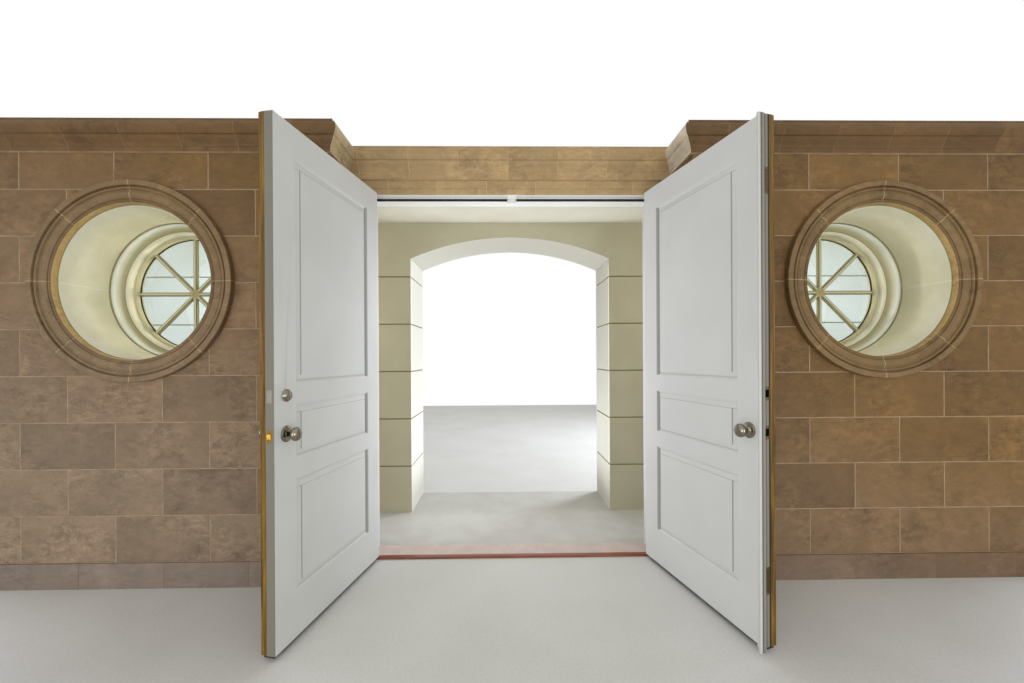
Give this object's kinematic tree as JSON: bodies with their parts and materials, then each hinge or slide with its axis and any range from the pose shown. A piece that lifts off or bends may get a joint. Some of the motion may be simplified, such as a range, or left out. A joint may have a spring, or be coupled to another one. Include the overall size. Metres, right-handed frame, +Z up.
{
  "type": "stone entrance wall with a pair of panelled doors, two round windows and an arched porch",
  "caption": "Stone-faced entrance wall with recessed hinged double doors, a deep round window on each side, and an open porch behind an arched outer wall.",
  "frame": {"origin": "on the floor at the middle of the doorway, in the plane of the recess, on the underside of the threshold", "axes": "+X along the wall to the right as seen from the room, +Y out through the doorway, +Z up"},
  "size_m": [6.78, 2.3229, 2.77],
  "materials": {
    "travertine": "honed",
    "limestone_cream": "honed",
    "limestone_olive": "honed",
    "porch_plaster": "matt plaster",
    "porch_stone": "honed",
    "white_paint": "satin paint",
    "door_paint": "satin white paint on wood",
    "door_varnish": "golden brown varnish",
    "threshold_wood": "dark red-brown varnish",
    "glass": "clear",
    "seal": "matt",
    "nickel": "satin nickel",
    "brass": "satin"
  },
  "bodies": {
    "entrance": {"wall_left": "travertine", "wall_right": "travertine", "wall_over_door": "travertine", "stone_facing_left": "travertine", "stone_facing_right": "travertine", "stone_over_door": "travertine", "base_course_left": "travertine", "base_course_right": "travertine", "cornice_left": "travertine", "cornice_right": "travertine", "cornice_recess": "travertine", "ring_left": "travertine", "ring_right": "travertine", "tunnel_lining_left": "limestone_cream", "tunnel_lining_right": "limestone_cream", "window_frame_left": "white_paint", "window_frame_right": "white_paint", "window_glass_left": "glass", "window_glass_right": "glass", "door_jamb_left": "door_paint", "door_jamb_right": "door_paint", "door_head": "door_paint", "weatherstrip": "seal", "threshold": "threshold_wood", "door_sill": "limestone_cream", "porch_floor": "porch_stone", "porch_ceiling": "porch_plaster", "porch_wall_left": "limestone_olive", "porch_wall_right": "limestone_olive", "porch_arch": "limestone_olive", "hinge_pins": "nickel"},
    "left_door": {"left_door_slab": "door_paint", "left_door_lining": "door_varnish", "left_door_sweep": "seal", "left_door_hinge_plates": "nickel", "left_door_roses": "nickel", "left_door_edge_plates": "brass"},
    "left_knobs": {"left_door_knobs": "nickel"},
    "left_latch": {"left_latch_bolt": "brass"},
    "right_door": {"right_door_slab": "door_paint", "right_door_lining": "door_varnish", "right_door_sweep": "seal", "right_door_hinge_plates": "nickel", "right_door_knobs": "nickel", "right_door_strikes": "nickel", "right_door_flush_bolts": "nickel", "right_door_astragal": "door_paint"}
  },
  "joints": [
    {"name": "left_door_swing", "type": "hinge", "parent": "entrance", "child": "left_door", "pos_m": [-0.9665, -0.001, 0], "axis": [0, 0, 1], "range_deg": [-6, 100.5]},
    {"name": "right_door_swing", "type": "hinge", "parent": "entrance", "child": "right_door", "pos_m": [0.9665, -0.001, 0], "axis": [0, 0, 1], "range_deg": [-103.5, 3]},
    {"name": "left_knob_turn", "type": "hinge", "parent": "left_door", "child": "left_knobs", "pos_m": [-1.08961, -0.87927, 1.006], "axis": [0.9833, -0.1822, 0], "range_deg": [0, 45], "stiffness_Nm_per_rad": 0.4},
    {"name": "left_latch_slide", "type": "slide", "parent": "left_door", "child": "left_latch", "axis": [0.1822, 0.9833, 0], "range_m": [0, 0.011]}
  ],
  "couplings": [
    {"joint": "left_latch_slide", "follows": "left_knob_turn", "m_per_rad": 0.014}
  ]
}
